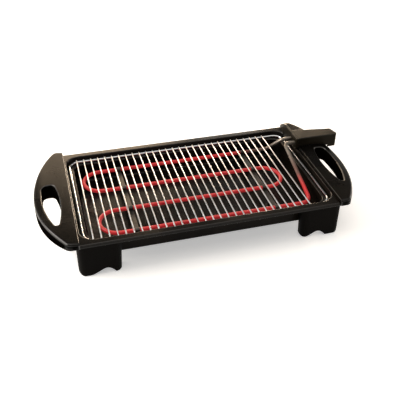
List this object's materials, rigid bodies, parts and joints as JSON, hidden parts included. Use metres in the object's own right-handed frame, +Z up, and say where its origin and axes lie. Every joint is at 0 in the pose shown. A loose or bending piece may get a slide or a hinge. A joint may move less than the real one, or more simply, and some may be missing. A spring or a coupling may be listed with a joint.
{
  "type": "tabletop electric grill",
  "caption": "Open tabletop electric barbecue grill: drip tray on moulded legs, half-moon handles, looped heating element under a wire rack, and a control box on one end.",
  "frame": {"origin": "on the table under the middle of the whole grill, handles and control box included", "axes": "+X to the right along the grill towards the control box, +Y to the back, +Z up"},
  "size_m": [0.5539, 0.267, 0.084],
  "materials": {
    "body_enamel": "satin black enamel on stamped sheet",
    "handle_plastic": "satin black heat-proof moulding",
    "leg_plastic": "matt black heat-proof moulding",
    "control_plastic": "satin black heat-proof moulding",
    "rack_chrome": "bright plated wire",
    "element_sheath": "steel sheath, red where it is hot",
    "brace_steel": "heat-darkened strip",
    "fastener_steel": "zinc plated",
    "ceramic": "glazed ceramic",
    "lead_sleeve": "woven glass sleeve",
    "inlet_rubber": "soft black bush"
  },
  "bodies": {
    "base": {"drip_tray": "body_enamel", "left_handle": "handle_plastic", "right_handle": "handle_plastic", "handle_screws": "fastener_steel", "front_left_leg": "leg_plastic", "back_left_leg": "leg_plastic", "front_right_leg": "leg_plastic", "back_right_leg": "leg_plastic", "leg_studs": "fastener_steel", "leg_nuts": "fastener_steel"},
    "heater_unit": {"heating_element": "element_sheath", "terminal_pins": "fastener_steel", "insulating_bushes": "ceramic", "left_element_brace": "brace_steel", "right_element_brace": "brace_steel", "element_end_plate": "control_plastic", "control_cover": "control_plastic", "control_base": "control_plastic", "control_screws": "fastener_steel", "cord_inlet_bush": "inlet_rubber", "terminal_block": "ceramic", "element_leads": "lead_sleeve", "thermal_cutout": "ceramic"},
    "rack": {"rack_frame": "rack_chrome", "rack_cross_wires": "rack_chrome"}
  },
  "joints": [
    {"name": "heater_lift", "type": "slide", "parent": "base", "child": "heater_unit", "axis": [0, 0, 1], "range_m": [0, 0.08]},
    {"name": "rack_tilt", "type": "hinge", "parent": "heater_unit", "child": "rack", "pos_m": [0.1925, 0, 0.054], "axis": [0, 1, 0], "range_deg": [0, 60]}
  ]
}
